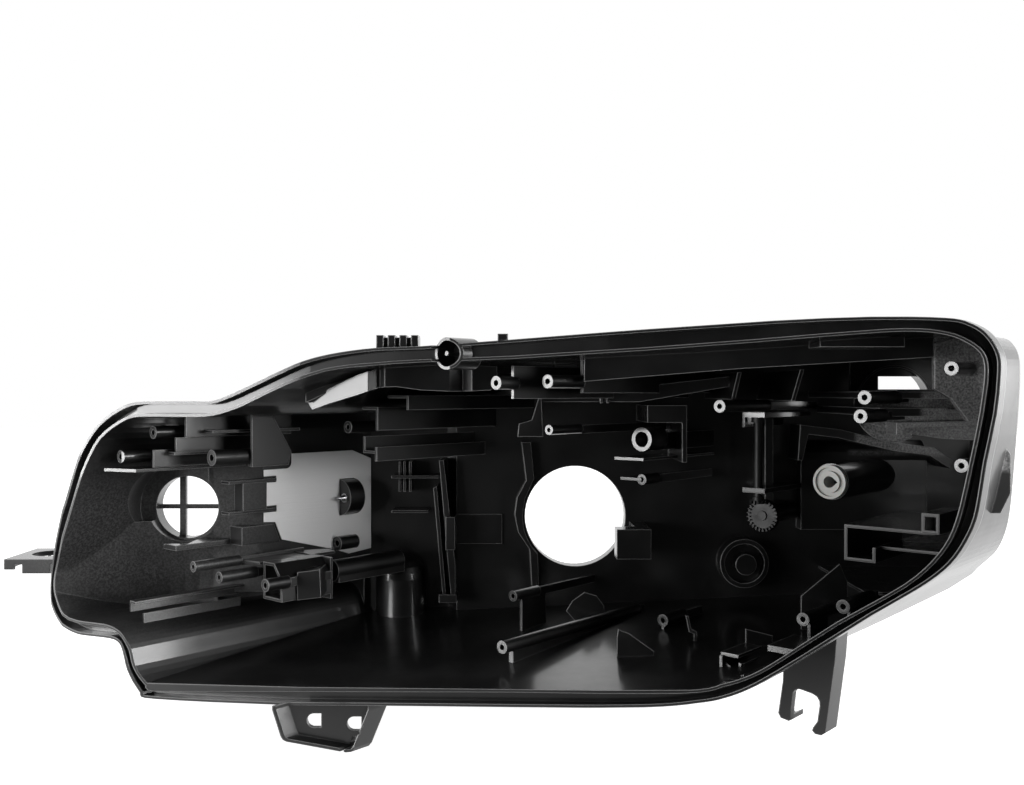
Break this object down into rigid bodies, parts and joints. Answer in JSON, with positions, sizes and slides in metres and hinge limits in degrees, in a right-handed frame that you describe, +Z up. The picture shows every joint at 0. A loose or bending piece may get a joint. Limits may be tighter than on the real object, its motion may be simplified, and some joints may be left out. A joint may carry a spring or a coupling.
{
  "type": "headlamp housing",
  "caption": "Open-fronted moulded housing of a swept car headlamp, with a sealing channel round its rim, rear access holes and two aiming adjusters.",
  "frame": {"origin": "centre of the large rear access hole, on the inner face of the back wall", "axes": "+X to the right as seen from the open front, +Y rearward along the access hole's axis, +Z up"},
  "size_m": [0.7975, 0.2746, 0.297],
  "materials": {
    "black_plastic": "moulded, satin to gloss",
    "aluminium_sheet": "bright, brushed",
    "white_nylon": "moulded",
    "dark_plastic": "moulded",
    "steel": "zinc plated"
  },
  "bodies": {
    "housing": {"housing": "black_plastic", "heat_shield": "aluminium_sheet", "adjuster_bush": "white_nylon", "ball_stud": "steel"},
    "aim_shaft": {"aim_shaft": "dark_plastic"},
    "crown_screw": {"crown_screw": "dark_plastic"}
  },
  "joints": [
    {"name": "aim_turn", "type": "hinge", "parent": "housing", "child": "aim_shaft", "pos_m": [0.14813, -0.05094, 0.05], "axis": [0, 0, 1], "continuous": true},
    {"name": "crown_turn", "type": "hinge", "parent": "housing", "child": "crown_screw", "pos_m": [0.15211, -0.04645, 0.006], "axis": [0.6626, 0.749, 0], "continuous": true}
  ],
  "couplings": [
    {"joint": "aim_turn", "follows": "crown_turn", "ratio": -2}
  ]
}
